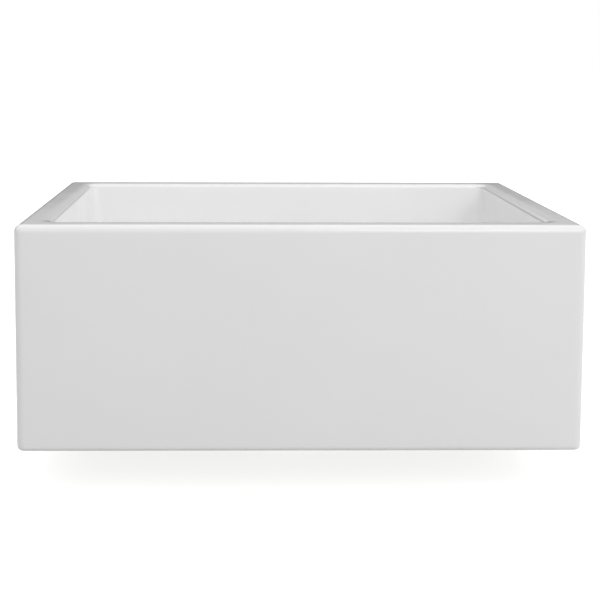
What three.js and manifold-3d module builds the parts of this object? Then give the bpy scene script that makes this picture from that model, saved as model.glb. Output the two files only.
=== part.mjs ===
import * as THREE from 'three';
import { mergeVertices } from 'three/addons/utils/BufferGeometryUtils.js';
import Module from 'manifold-3d';

// A farmhouse (apron front) kitchen sink of white glazed fireclay, with its 3 1/2 inch basket strainer waste.
// Millimetres. +X is the right-hand side, the apron faces -Y, and +Z is up.
// The origin is the middle of the underside, in the plane of the foot that rests on the cabinet's rails.

// Fireclay body
const sinkWidth = 606;
const sinkDepth = 457;
const sinkHeight = 244;
const rimWidth = 35;
const uprightEdgeRadius = 9;
const topEdgeRadius = 8;
const bottomEdgeRadius = 3;
const lipWidth = 15;
const lipDrop = 4.5;
const lipCrown = 9;
const lipNose = 3.5;
const wallDraftDegrees = 1.2;
const basinCornerAtRim = 12;
const basinCornerAtFloor = 46;
const floorFilletRadius = 32;
const floorFall = 5;
const slabThickness = 23;
const footHeight = 4;
const footWidth = 34;
const footChamfer = 2;
const drainHoleDiameter = 90;
const drainOffsetX = 0;
const drainOffsetY = 0;
const recessDepth = 3.3;
const recessClearance = 2.5;
const glazedEdge = 1;
const smallestCorner = 1;

// Strainer body, drawn from stainless sheet
const flangeOverlap = 12;
const flangeLip = 1.4;
const flangeBend = 4;
const strainerSheet = 1.2;
const holeClearance = 2;
const bowlDepth = 50;
const bowlBend = 7;
const hubRadius = 8;
const crossArm = 5;
const windowMargin = 0.5;

// Washers and nuts that clamp the strainer to the sink
const gasketThickness = 1.5;
const gasketMargin = 3;
const rubberWasherThickness = 4.5;
const frictionWasherThickness = 1.5;
const lockNutHeight = 11;
const lockNutWall = 9;
const lockNutLug = 5;
const lockNutLugs = 6;
const lockNutChamfer = 1;

// Outlet, for a 1 1/2 inch tailpiece
const spudDiameter = 47.6;
const spudWall = 2.3;
const spudLength = 24;
const spudFlangeWidth = 5;
const spudFlangeThickness = 2.5;
const couplingNutHeight = 17;
const couplingNutWall = 4;
const couplingNutLip = 2.4;
const couplingNutRibs = 8;
const couplingNutRib = 2.2;
const couplingNutChamfer = 0.7;
const lugTopShare = 0.32;
const lugRootShare = 0.5;
const tailpieceWasherThickness = 1.6;
const tailpieceDiameter = 38.1;

// Basket: cup, rubber stopper, post and knob
const basketClearance = 0.8;
const cupSheet = 1;
const cupTaper = 7;
const cupCorner = 6;
const cupRoll = 1.4;
const cupRollTurn = 200;
const cupRimDrop = 5;
const sideSlots = 20;
const slotWidth = 3;
const slotEndMargin = 3.5;
const floorHoleDiameter = 3.4;
const innerHoleCircle = 14;
const innerHoles = 8;
const outerHoleCircle = 20.5;
const outerHoles = 14;
const postDiameter = 6;
const postCollar = 2;
const postCollarHeight = 1.6;
const postTail = 15;
const postTip = 2;
const collarRise = 0.9;
const grooveDepth = 0.8;
const stopperSheet = 2.6;
const stopperOverlap = 4.5;
const stopperWebMargin = 1;
const stopperLipStraight = 0.9;
const plateRadius = 12;
const plateThickness = 1;
const basketNutAcrossFlats = 10;
const basketNutHeight = 5;
const knobDiameter = 22;
const knobHeight = 17;
const knobNeckDiameter = 11;
const knobNeckHeight = 3.4;
const knobCrownHeight = 6.5;
const knobBoreDepth = 7;
const knobProud = 8;
const clipLength = 9;
const clipWall = 1.5;
const clipSlit = 1.6;
const clipBarrel = 0.3;

// Clearances
const seat = 0.3;
const threadClearance = 0.4;
const postClearance = 0.4;

// Facets
const roundSteps = 36;
const smallSteps = 20;
const sideSteps = 3;
const cornerSteps = 6;
const quarterSteps = 2 * sideSteps + cornerSteps;
const footEdgeSteps = 3;
const topEdgeSteps = 4;
const rimLipSteps = 6;
const filletSteps = 5;
const floorShares = [0.3, 0.6, 0.85, 1];
const bendSteps = 4;
const lipSteps = 2;
const windowSteps = 6;
const hubSteps = 3;
const lugSteps = 4;
const ribSteps = 2;
const cornerBendSteps = 3;
const rollSteps = 5;
const slotEndSteps = 3;
const holeSteps = 8;
const bellSteps = 5;
const crownSteps = 8;

// How far a cutter stands past a sheet, in sheet thicknesses, and the sharpest mitre a thickened line may have
const cutterReach = 4;
const sharpestMitre = 0.5;

const wasm = await Module();
wasm.setup();

const radians = THREE.MathUtils.degToRad;
const point = (x, y) => new THREE.Vector2(x, y);

const glaze = new THREE.MeshStandardMaterial({ color: 0xe9e9e7, roughness: 0.12, metalness: 0 });
const stainless = new THREE.MeshStandardMaterial({ color: 0xc4c5c6, roughness: 0.28, metalness: 1 });
const chrome = new THREE.MeshStandardMaterial({ color: 0xd8dadc, roughness: 0.08, metalness: 1 });
const zinc = new THREE.MeshStandardMaterial({ color: 0xa3a5a8, roughness: 0.45, metalness: 1 });
const blackRubber = new THREE.MeshStandardMaterial({ color: 0x1c1c1d, roughness: 0.7, metalness: 0 });
const fibre = new THREE.MeshStandardMaterial({ color: 0xb08d5e, roughness: 0.9, metalness: 0 });
const nylon = new THREE.MeshStandardMaterial({ color: 0xe2e0d8, roughness: 0.45, metalness: 0 });

function named(name, geometry, material) {
  const mesh = new THREE.Mesh(geometry, material);
  mesh.name = name;
  return mesh;
}

// A closed geometry as a solid, for cutting and joining.
function toSolid(geometry) {
  const bare = geometry.clone();
  bare.deleteAttribute('normal');
  bare.deleteAttribute('uv');
  const merged = mergeVertices(bare, 1e-4);
  const vertProperties = new Float32Array(merged.attributes.position.array);
  const triVerts = new Uint32Array(merged.index.array);
  return new wasm.Manifold(new wasm.Mesh({ numProp: 3, vertProperties, triVerts }));
}

function toGeometry(solid) {
  const mesh = solid.getMesh();
  const geometry = new THREE.BufferGeometry();
  geometry.setAttribute('position', new THREE.BufferAttribute(mesh.vertProperties, 3));
  geometry.setIndex(new THREE.BufferAttribute(mesh.triVerts, 1));
  geometry.computeVertexNormals();
  return geometry;
}

// A turned shape about +Z, from an outline of (radius, height) points that runs anticlockwise.
function turned(outline, steps) {
  return new THREE.LatheGeometry(outline, steps).rotateX(Math.PI / 2);
}

// A flat ring of rectangular section, its lower face at z = 0.
function washer(innerRadius, outerRadius, thickness, steps) {
  const outline = [
    point(innerRadius, 0),
    point(outerRadius, 0),
    point(outerRadius, thickness),
    point(innerRadius, thickness),
    point(innerRadius, 0),
  ];
  return turned(outline, steps);
}

// Points of a circular arc, both ends included. Angles are in degrees.
function arc(centreX, centreY, radius, from, to, steps) {
  const points = [];
  for (let i = 0; i <= steps; i += 1) {
    const angle = radians(from + ((to - from) * i) / steps);
    points.push(point(centreX + radius * Math.cos(angle), centreY + radius * Math.sin(angle)));
  }
  return points;
}

// A flat ring cut from plate, of any outline, with a round bore and both faces chamfered.
function boredPlate(outline, boreRadius, thickness, chamfer) {
  const shape = new THREE.Shape(outline);
  shape.holes.push(new THREE.Path(arc(0, 0, boreRadius, 0, 360, roundSteps).slice(1)));
  const options = {
    depth: thickness - 2 * chamfer,
    bevelThickness: chamfer,
    bevelSize: chamfer,
    bevelOffset: -chamfer,
    bevelSegments: 1,
  };
  return new THREE.ExtrudeGeometry(shape, options).translate(0, 0, chamfer);
}

// A round outline with lugs standing out of it at an even pitch.
function luggedOutline(rootRadius, lug, count, steps) {
  const pitch = 360 / count;
  const outline = [];
  for (let i = 0; i < count; i += 1) {
    const middle = i * pitch;
    const halfTop = (pitch * lugTopShare) / 2;
    const halfRoot = (pitch * lugRootShare) / 2;
    outline.push(...arc(0, 0, rootRadius + lug, middle - halfTop, middle + halfTop, steps));
    outline.push(...arc(0, 0, rootRadius, middle + halfRoot, middle + pitch - halfRoot, steps + 1));
  }
  return outline;
}

// The closed outline of a sheet that follows a middle line, half its thickness to either side.
function thickened(line, thickness) {
  const right = [];
  const left = [];
  line.forEach((here, i) => {
    const before = line[Math.max(i - 1, 0)];
    const after = line[Math.min(i + 1, line.length - 1)];
    const incoming = here.clone().sub(before).normalize();
    const outgoing = after.clone().sub(here).normalize();
    const along = incoming.clone().add(outgoing).normalize();
    const turn = Math.max(along.dot(i > 0 ? incoming : outgoing), sharpestMitre);
    const aside = point(along.y, -along.x).multiplyScalar(thickness / 2 / turn);
    right.push(here.clone().add(aside));
    left.unshift(here.clone().sub(aside));
  });
  return [...right, ...left, right[0].clone()];
}

// ---- Fireclay body: one closed skin, lofted through rings from the foot, over the rim, through the drain and back.

// One quarter of a rounded rectangle, from the middle of the +X side (0) to the middle of the +Y side.
function quarterPoint(step, halfX, halfY, corner) {
  if (step <= sideSteps) return point(halfX, ((halfY - corner) * step) / sideSteps);
  if (step >= sideSteps + cornerSteps) {
    return point(((halfX - corner) * (quarterSteps - step)) / sideSteps, halfY);
  }
  const angle = (((step - sideSteps) / cornerSteps) * Math.PI) / 2;
  return point(halfX - corner + corner * Math.cos(angle), halfY - corner + corner * Math.sin(angle));
}

// A level ring, anticlockwise from above: a rounded rectangle inset from the sink's outline.
function boxRing(inset, corner, z) {
  const halfX = sinkWidth / 2 - inset;
  const halfY = sinkDepth / 2 - inset;
  const ring = [];
  for (let k = 0; k < 4 * quarterSteps; k += 1) {
    const quarter = Math.floor(k / quarterSteps);
    const step = k % quarterSteps;
    const mirrored = quarter % 2 === 1;
    const p = quarterPoint(mirrored ? quarterSteps - step : step, halfX, halfY, corner);
    const signX = quarter === 1 || quarter === 2 ? -1 : 1;
    const signY = quarter >= 2 ? -1 : 1;
    ring.push(new THREE.Vector3(signX * p.x, signY * p.y, z));
  }
  return ring;
}

// A level ring round the drain, with as many points.
function drainRing(radius, z) {
  const ring = [];
  for (let k = 0; k < 4 * quarterSteps; k += 1) {
    const angle = (k / (4 * quarterSteps)) * 2 * Math.PI;
    ring.push(new THREE.Vector3(drainOffsetX + radius * Math.cos(angle), drainOffsetY + radius * Math.sin(angle), z));
  }
  return ring;
}

const between = (ringA, ringB, share) => ringA.map((p, k) => p.clone().lerp(ringB[k], share));

// Joins each ring to the next, and the last to the first.
function loftedLoop(rings) {
  const count = rings[0].length;
  const positions = rings.flat().flatMap((p) => [p.x, p.y, p.z]);
  const index = [];
  rings.forEach((ring, r) => {
    const here = r * count;
    const next = ((r + 1) % rings.length) * count;
    for (let k = 0; k < count; k += 1) {
      const across = (k + 1) % count;
      index.push(here + k, here + across, next + across);
      index.push(here + k, next + across, next + k);
    }
  });
  const geometry = new THREE.BufferGeometry();
  geometry.setAttribute('position', new THREE.Float32BufferAttribute(positions, 3));
  geometry.setIndex(index);
  geometry.computeVertexNormals();
  return geometry;
}

const seatZ = footHeight + slabThickness;
const floorLowZ = seatZ + recessDepth;
const floorEdgeZ = floorLowZ + floorFall;
const filletTopZ = floorEdgeZ + floorFilletRadius;
const wallTopZ = sinkHeight - lipDrop;
const wallFootInset = rimWidth + (wallTopZ - filletTopZ) * Math.tan(radians(wallDraftDegrees));
const drainRadius = drainHoleDiameter / 2;
const flangeRadius = drainRadius + flangeOverlap;
const recessRadius = flangeRadius + recessClearance;

// The rim falls gently towards the basin, then turns down over a small nose into the wall.
function innerLip() {
  const lipStart = rimWidth - lipWidth;
  return new THREE.CubicBezierCurve(
    point(lipStart, sinkHeight),
    point(lipStart + lipCrown, sinkHeight),
    point(rimWidth, wallTopZ + lipNose),
    point(rimWidth, wallTopZ),
  );
}

function fireclayBody() {
  const rings = [];
  const outerCorner = (inset) => Math.max(uprightEdgeRadius - inset, smallestCorner);
  arc(bottomEdgeRadius, bottomEdgeRadius, bottomEdgeRadius, 270, 180, footEdgeSteps).forEach((p) => {
    rings.push(boxRing(p.x, outerCorner(p.x), p.y));
  });
  arc(topEdgeRadius, sinkHeight - topEdgeRadius, topEdgeRadius, 180, 90, topEdgeSteps).forEach((p) => {
    rings.push(boxRing(p.x, outerCorner(p.x), p.y));
  });
  innerLip().getPoints(rimLipSteps).forEach((p) => {
    rings.push(boxRing(p.x, basinCornerAtRim + rimWidth - p.x, p.y));
  });
  arc(wallFootInset + floorFilletRadius, filletTopZ, floorFilletRadius, 180, 270, filletSteps).forEach((p) => {
    const corner = Math.max(basinCornerAtFloor - (p.x - wallFootInset), smallestCorner);
    rings.push(boxRing(p.x, corner, p.y));
  });
  const floorEdge = rings[rings.length - 1];
  const floorMiddle = drainRing(recessRadius + glazedEdge, floorLowZ);
  floorShares.forEach((share) => rings.push(between(floorEdge, floorMiddle, share)));
  rings.push(drainRing(recessRadius, floorLowZ - glazedEdge));
  rings.push(drainRing(recessRadius, seatZ));
  rings.push(drainRing(drainRadius + glazedEdge, seatZ));
  rings.push(drainRing(drainRadius, seatZ - glazedEdge));
  rings.push(drainRing(drainRadius, footHeight + glazedEdge));
  rings.push(drainRing(drainRadius + glazedEdge, footHeight));
  rings.push(boxRing(footWidth, basinCornerAtRim, footHeight));
  rings.push(boxRing(footWidth - footChamfer, basinCornerAtRim, 0));
  return loftedLoop(rings);
}

// ---- Strainer body: flange, throat and bowl in one sheet, its floor pierced to a cross that guides the post.

const bodyRadius = drainRadius - holeClearance;
const throatRadius = bodyRadius - strainerSheet;
const sheetLineRadius = bodyRadius - strainerSheet / 2;
const gasketZ = seatZ + seat;
const flangeUnderZ = gasketZ + gasketThickness + seat;
const flangeTopZ = flangeUnderZ + strainerSheet;
const bowlFloorZ = flangeTopZ - bowlDepth;
const bowlUnderZ = bowlFloorZ - strainerSheet;
const flangeBendRadius = sheetLineRadius + flangeBend;
const spudRadius = spudDiameter / 2;
const spudBore = spudRadius - spudWall;
const windowRadius = spudBore - windowMargin;
const postRadius = postDiameter / 2;
const grooveRadius = postRadius - grooveDepth;
const clipBore = grooveRadius + seat;
const clipRadius = clipBore + clipWall + clipBarrel;
const hubHole = clipRadius + postClearance;

function quadrantWindow() {
  const armAtHub = THREE.MathUtils.radToDeg(Math.asin(crossArm / 2 / hubRadius));
  const armAtEdge = THREE.MathUtils.radToDeg(Math.asin(crossArm / 2 / windowRadius));
  const outline = new THREE.Shape([
    ...arc(0, 0, windowRadius, armAtEdge, 90 - armAtEdge, windowSteps),
    ...arc(0, 0, hubRadius, 90 - armAtHub, armAtHub, hubSteps),
  ]);
  const through = cutterReach * strainerSheet;
  const cutter = new THREE.ExtrudeGeometry(outline, { depth: through, bevelEnabled: false });
  return cutter.translate(0, 0, (bowlFloorZ + bowlUnderZ - through) / 2);
}

function strainerBody() {
  const flangeLineRadius = flangeRadius - strainerSheet / 2;
  const flangeLineZ = flangeTopZ - strainerSheet / 2;
  const floorLineZ = bowlFloorZ - strainerSheet / 2;
  const line = [
    ...arc(flangeLineRadius - flangeLip, flangeLineZ - flangeLip, flangeLip, 0, 90, lipSteps),
    ...arc(flangeBendRadius, flangeLineZ - flangeBend, flangeBend, 90, 180, bendSteps),
    ...arc(sheetLineRadius - bowlBend, floorLineZ + bowlBend, bowlBend, 0, -90, bendSteps),
    point(hubHole, floorLineZ),
  ];
  let solid = toSolid(turned(thickened(line, strainerSheet), roundSteps));
  for (let quadrant = 0; quadrant < 4; quadrant += 1) {
    solid = solid.subtract(toSolid(quadrantWindow().rotateZ((quadrant * Math.PI) / 2)));
  }
  return toGeometry(solid);
}

// ---- What clamps the strainer to the sink, and the outlet brazed under its bowl

const rubberWasherZ = footHeight - seat - rubberWasherThickness;
const frictionWasherZ = rubberWasherZ - seat - frictionWasherThickness;
const lockNutZ = frictionWasherZ - seat - lockNutHeight;
const spudZ = bowlUnderZ - seat - spudLength;
const couplingBore = spudRadius + threadClearance;
const tailpieceHole = tailpieceDiameter / 2 + threadClearance;
const tailpieceWasherZ = spudZ - seat - tailpieceWasherThickness;
const couplingNutZ = tailpieceWasherZ - seat - couplingNutLip;

function lockNut() {
  const bore = bodyRadius + threadClearance;
  const outline = luggedOutline(bore + lockNutWall, lockNutLug, lockNutLugs, lugSteps);
  return boredPlate(outline, bore, lockNutHeight, lockNutChamfer);
}

function outletSpud() {
  const flangeRadius = spudRadius + spudFlangeWidth;
  const flangeZ = spudLength - spudFlangeThickness;
  const outline = [
    point(spudBore, 0),
    point(spudRadius - spudWall / 2, 0),
    point(spudRadius, spudWall / 2),
    point(spudRadius, flangeZ),
    point(flangeRadius, flangeZ),
    point(flangeRadius, spudLength),
    point(spudBore, spudLength),
    point(spudBore, 0),
  ];
  return turned(outline, roundSteps);
}

function couplingNut() {
  const outline = luggedOutline(couplingBore + couplingNutWall, couplingNutRib, couplingNutRibs, ribSteps);
  const blank = boredPlate(outline, tailpieceHole, couplingNutHeight, couplingNutChamfer);
  const core = new THREE.CylinderGeometry(couplingBore, couplingBore, couplingNutHeight, roundSteps);
  core.rotateX(Math.PI / 2).translate(0, 0, couplingNutHeight / 2 + couplingNutLip);
  return toGeometry(toSolid(blank).subtract(toSolid(core)));
}

// ---- Basket: everything that lifts out, clamped on one post

const postTipZ = bowlFloorZ - postTail;
const collarZ = bowlFloorZ + collarRise;
const lowerPlateZ = collarZ + postCollarHeight + seat;
const stopperWebZ = lowerPlateZ + plateThickness + seat;
const upperPlateZ = stopperWebZ + stopperSheet + seat;
const cupFloorZ = upperPlateZ + plateThickness + seat;
const basketWasherZ = cupFloorZ + cupSheet + seat;
const basketNutZ = basketWasherZ + plateThickness + seat;
const cupRimZ = flangeTopZ - cupRimDrop;
const knobZ = flangeTopZ + knobProud - knobHeight;
const postTopZ = knobZ + knobBoreDepth - seat;
const clipZ = postTipZ + postTip + seat;
const onPost = postRadius + postClearance;

function basketPost() {
  const collar = collarZ - postTipZ;
  const grooveEnd = clipZ + clipLength + seat - postTipZ;
  const top = postTopZ - postTipZ;
  const tip = postTip / 2;
  const outline = [
    point(0, 0),
    point(postRadius - tip, 0),
    point(postRadius, tip),
    point(postRadius, postTip),
    point(grooveRadius, postTip),
    point(grooveRadius, grooveEnd),
    point(postRadius, grooveEnd),
    point(postRadius, collar),
    point(postRadius + postCollar, collar),
    point(postRadius + postCollar, collar + postCollarHeight),
    point(postRadius, collar + postCollarHeight),
    point(postRadius, top),
    point(0, top),
  ];
  return turned(outline, smallSteps);
}

// A split nylon sleeve, a little barrelled, that snaps through the hub's hole.
function postClip() {
  const outline = [
    point(clipBore, 0),
    point(clipRadius - clipBarrel, 0),
    point(clipRadius, clipLength / 2),
    point(clipRadius - clipBarrel, clipLength),
    point(clipBore, clipLength),
    point(clipBore, 0),
  ];
  const slit = new THREE.BoxGeometry(2 * clipRadius, clipSlit, 2 * clipLength);
  slit.translate(clipRadius, 0, clipLength / 2);
  return toGeometry(toSolid(turned(outline, smallSteps)).subtract(toSolid(slit)));
}

// A rubber bell whose level lip seals the floor outside the windows.
function stopperSeal() {
  const webLine = stopperWebZ + stopperSheet / 2;
  const lipLine = windowRadius + stopperOverlap - stopperSheet / 2;
  const shoulder = new THREE.QuadraticBezierCurve(
    point(plateRadius + stopperWebMargin, webLine),
    point(lipLine, webLine),
    point(lipLine, bowlFloorZ + seat + stopperLipStraight),
  );
  const line = [point(onPost, webLine), ...shoulder.getPoints(bellSteps), point(lipLine, bowlFloorZ + seat)];
  return turned(thickened(line, stopperSheet), roundSteps);
}

function sideSlotCutter(low, high, nearRadius, farRadius) {
  const half = slotWidth / 2;
  const outline = new THREE.Shape([
    ...arc(0, low + half, half, 180, 360, slotEndSteps),
    ...arc(0, high - half, half, 0, 180, slotEndSteps),
  ]);
  const cutter = new THREE.ExtrudeGeometry(outline, { depth: farRadius - nearRadius, bevelEnabled: false });
  return cutter.rotateX(Math.PI / 2).rotateZ(Math.PI / 2).translate(nearRadius, 0, 0);
}

function basketCup() {
  const floorLine = cupFloorZ + cupSheet / 2;
  const topRadius = throatRadius - basketClearance - cupSheet / 2 - 2 * cupRoll;
  const footRadius = topRadius - cupTaper;
  const taper = THREE.MathUtils.radToDeg(Math.atan2(cupTaper, cupRimZ - floorLine - cupCorner));
  const line = [
    point(onPost, floorLine),
    ...arc(footRadius - cupCorner, floorLine + cupCorner, cupCorner, -90, -taper, cornerBendSteps),
    ...arc(topRadius + cupRoll, cupRimZ, cupRoll, 180, 180 - cupRollTurn, rollSteps),
  ];
  let solid = toSolid(turned(thickened(line, cupSheet), roundSteps));
  const slotLow = cupFloorZ + cupCorner + slotEndMargin;
  const slotHigh = cupRimZ - slotEndMargin;
  for (let i = 0; i < sideSlots; i += 1) {
    const slot = sideSlotCutter(slotLow, slotHigh, footRadius - cupCorner, topRadius + cupRoll);
    solid = solid.subtract(toSolid(slot.rotateZ((i / sideSlots) * 2 * Math.PI)));
  }
  const holeRadius = floorHoleDiameter / 2;
  const pierceFloor = (circle, count) => {
    for (let i = 0; i < count; i += 1) {
      const hole = new THREE.CylinderGeometry(holeRadius, holeRadius, cutterReach * cupSheet, holeSteps);
      hole.rotateX(Math.PI / 2).translate(circle, 0, floorLine);
      solid = solid.subtract(toSolid(hole.rotateZ((i / count) * 2 * Math.PI)));
    }
  };
  pierceFloor(innerHoleCircle, innerHoles);
  pierceFloor(outerHoleCircle, outerHoles);
  return toGeometry(solid);
}

function basketNut() {
  const acrossCorners = basketNutAcrossFlats / 2 / Math.cos(Math.PI / 6);
  const hexagon = arc(0, 0, acrossCorners, 0, 360, 6).slice(1);
  const shape = new THREE.Shape(hexagon);
  shape.holes.push(new THREE.Path(arc(0, 0, onPost, 0, 360, smallSteps).slice(1)));
  return new THREE.ExtrudeGeometry(shape, { depth: basketNutHeight, bevelEnabled: false });
}

// A mushroom knob with a blind bore that takes the head of the post.
function basketKnob() {
  const neck = knobNeckDiameter / 2;
  const crownRadius = knobDiameter / 2;
  const meetsNeck = -Math.acos(neck / crownRadius);
  const crown = new THREE.EllipseCurve(
    0, knobHeight - knobCrownHeight, crownRadius, knobCrownHeight, meetsNeck, Math.PI / 2,
  );
  const outline = [
    point(onPost, 0),
    point(neck, 0),
    point(neck, knobNeckHeight),
    ...crown.getPoints(crownSteps).slice(0, -1),
    point(0, knobHeight),
    point(0, knobBoreDepth),
    point(onPost, knobBoreDepth),
    point(onPost, 0),
  ];
  return turned(outline, smallSteps);
}

// ---- Assembly

function placed(mesh, z) {
  mesh.position.z = z;
  return mesh;
}

const sink = new THREE.Group();
sink.add(named('sink_body', fireclayBody(), glaze));

const waste = new THREE.Group();
waste.position.set(drainOffsetX, drainOffsetY, 0);
sink.add(waste);

const gasket = washer(flangeBendRadius, flangeRadius - gasketMargin, gasketThickness, roundSteps);
const rubberWasher = washer(bodyRadius + threadClearance, flangeRadius, rubberWasherThickness, roundSteps);
const frictionWasher = washer(bodyRadius + threadClearance, flangeRadius, frictionWasherThickness, roundSteps);
const tailpieceWasher = washer(tailpieceHole, couplingBore - seat, tailpieceWasherThickness, roundSteps);

waste.add(
  named('strainer_body', strainerBody(), stainless),
  placed(named('flange_gasket', gasket, blackRubber), gasketZ),
  placed(named('rubber_washer', rubberWasher, blackRubber), rubberWasherZ),
  placed(named('friction_washer', frictionWasher, fibre), frictionWasherZ),
  placed(named('lock_nut', lockNut(), zinc), lockNutZ),
  placed(named('outlet_spud', outletSpud(), chrome), spudZ),
  placed(named('tailpiece_washer', tailpieceWasher, nylon), tailpieceWasherZ),
  placed(named('coupling_nut', couplingNut(), chrome), couplingNutZ),
);

const basket = new THREE.Group();
waste.add(basket);

const plate = () => washer(onPost, plateRadius, plateThickness, smallSteps);

basket.add(
  placed(named('basket_post', basketPost(), stainless), postTipZ),
  placed(named('post_clip', postClip(), nylon), clipZ),
  placed(named('stopper_plate_lower', plate(), stainless), lowerPlateZ),
  named('stopper_seal', stopperSeal(), blackRubber),
  placed(named('stopper_plate_upper', plate(), stainless), upperPlateZ),
  named('basket_cup', basketCup(), stainless),
  placed(named('basket_washer', plate(), stainless), basketWasherZ),
  placed(named('basket_nut', basketNut(), stainless), basketNutZ),
  placed(named('basket_knob', basketKnob(), chrome), knobZ),
);

export default sink;
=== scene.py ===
import bpy
import bmesh
from math import atan2, cos, hypot, pi, radians, sin, tan
from mathutils import Matrix, Vector
from mathutils.geometry import interpolate_bezier


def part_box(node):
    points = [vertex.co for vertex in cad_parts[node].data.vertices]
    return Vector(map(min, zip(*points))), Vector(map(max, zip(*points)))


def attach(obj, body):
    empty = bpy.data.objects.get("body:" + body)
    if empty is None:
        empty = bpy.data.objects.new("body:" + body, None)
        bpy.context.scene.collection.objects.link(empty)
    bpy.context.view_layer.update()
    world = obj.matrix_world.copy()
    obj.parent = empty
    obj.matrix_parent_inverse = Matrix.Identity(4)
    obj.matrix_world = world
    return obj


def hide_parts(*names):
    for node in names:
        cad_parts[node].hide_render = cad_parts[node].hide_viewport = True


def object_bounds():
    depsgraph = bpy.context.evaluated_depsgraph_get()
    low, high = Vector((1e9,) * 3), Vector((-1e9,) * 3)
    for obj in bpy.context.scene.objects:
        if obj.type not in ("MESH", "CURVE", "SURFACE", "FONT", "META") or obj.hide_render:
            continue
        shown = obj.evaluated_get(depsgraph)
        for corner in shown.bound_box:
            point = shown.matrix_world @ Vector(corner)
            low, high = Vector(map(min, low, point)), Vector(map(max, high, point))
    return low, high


# A farmhouse (apron front) kitchen sink of white glazed fireclay with its basket strainer waste.
# Metres. +X is the right-hand side, the apron faces -Y, +Z is up, and z = 0 is the foot of the sink.

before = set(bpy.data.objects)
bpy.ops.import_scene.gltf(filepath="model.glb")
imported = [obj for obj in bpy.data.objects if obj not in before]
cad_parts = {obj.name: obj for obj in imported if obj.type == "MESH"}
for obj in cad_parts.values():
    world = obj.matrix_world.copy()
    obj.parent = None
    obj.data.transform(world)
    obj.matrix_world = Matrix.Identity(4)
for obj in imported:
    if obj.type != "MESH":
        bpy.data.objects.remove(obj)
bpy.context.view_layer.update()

fullTurn = 2 * pi
strainerLow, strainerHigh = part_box("strainer_body")
drain = Vector(((strainerLow.x + strainerHigh.x) / 2, (strainerLow.y + strainerHigh.y) / 2, 0))
meshing = {"weld": 1e-6, "onPlane": 1e-7}


# Mesh tools. Round pieces are made about the Z axis, and finishPiece puts them on the drain.

def measured(node):  # outer radius, bore radius, underside and top of a round CAD node
    low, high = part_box(node)
    radii = [hypot(v.co.x - drain.x, v.co.y - drain.y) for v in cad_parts[node].data.vertices]
    return max(radii), min(radii), low.z, high.z


def wire(bm, points, closed=False):  # a line of edges in the XZ plane through (radius, height) points
    verts = [bm.verts.new((radius, 0, z)) for radius, z in points]
    pairs = list(zip(verts, verts[1:]))
    if closed:
        pairs.append((verts[-1], verts[0]))
    for a, b in pairs:
        bm.edges.new((a, b))
    return verts


def roundCorners(bm, verts, radius, segments):
    bmesh.ops.bevel(
        bm, geom=verts, offset=radius, offset_type="OFFSET", segments=segments,
        profile=0.5, affect="VERTICES", material=-1,
    )


def softenEdges(bm, width, segments=2, sharperThan=30):
    sharp = [e for e in bm.edges if len(e.link_faces) == 2 and e.calc_face_angle() > radians(sharperThan)]
    bmesh.ops.bevel(
        bm, geom=sharp, offset=width, offset_type="OFFSET", segments=segments,
        profile=0.5, affect="EDGES", material=-1, clamp_overlap=True,
    )


def sweep(bm, geom, angle, steps, rise=0.0, merge=False, duplicate=False):
    made = bmesh.ops.spin(
        bm, geom=geom, cent=(0, 0, 0), axis=(0, 0, 1), dvec=(0, 0, rise),
        angle=angle, steps=steps, use_merge=merge, use_duplicate=duplicate,
    )
    return made["geom_last"]


def everything(bm):
    return bm.verts[:] + bm.edges[:] + bm.faces[:]


def mergeDoubles(bm):
    bmesh.ops.remove_doubles(bm, verts=bm.verts[:], dist=meshing["weld"])


def turnFull(bm, steps):
    sweep(bm, bm.verts[:] + bm.edges[:], fullTurn, steps, merge=True)
    mergeDoubles(bm)


def circle(bm, radius, z, steps, x=0.0, y=0.0):
    place = Matrix.Translation((x, y, z))
    return bmesh.ops.create_circle(bm, cap_ends=False, radius=radius, segments=steps, matrix=place)["verts"]


def edgesOf(verts):  # each edge between these points once, in the points' order
    chosen = set(verts)
    return list(dict.fromkeys(e for v in verts for e in v.link_edges if e.other_vert(v) in chosen))


def joinPart(bm, part):
    mesh = bpy.data.meshes.new("part")
    part.to_mesh(mesh)
    part.free()
    bm.from_mesh(mesh)
    bpy.data.meshes.remove(mesh)


def finishPiece(name, bm, material, body, node=None, wall=None, levels=0, sharp=40, at=drain):
    mergeDoubles(bm)
    bmesh.ops.recalc_face_normals(bm, faces=bm.faces[:])
    bmesh.ops.translate(bm, vec=at, verts=bm.verts[:])
    mesh = bpy.data.meshes.new(name)
    bm.to_mesh(mesh)
    bm.free()
    mesh.shade_smooth()
    mesh.materials.append(material)
    piece = bpy.data.objects.new(name, mesh)
    bpy.context.scene.collection.objects.link(piece)
    if wall:
        sheet = piece.modifiers.new("sheet", "SOLIDIFY")
        sheet.thickness = wall
        sheet.offset = 0
        sheet.use_even_offset = True
        sheet.edge_crease_inner = sheet.edge_crease_outer = 1
    if levels:
        smooth = piece.modifiers.new("smooth", "SUBSURF")
        smooth.levels = smooth.render_levels = levels
    else:
        mesh.set_sharp_from_angle(angle=radians(sharp))
    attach(piece, body)
    if node:
        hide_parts(node)


# Materials. Every pattern is made from object coordinates.

def startMaterial(name, settings):
    material = bpy.data.materials.new(name)
    material.use_nodes = True
    tree = material.node_tree
    shader = tree.nodes["Principled BSDF"]
    for socket, value in settings.items():
        shader.inputs[socket].default_value = value
    return material, tree, shader


def objectPlace(tree):
    return tree.nodes.new("ShaderNodeTexCoord").outputs["Object"]


def splitPlace(tree, place):
    split = tree.nodes.new("ShaderNodeSeparateXYZ")
    tree.links.new(place, split.inputs[0])
    return split.outputs


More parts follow.
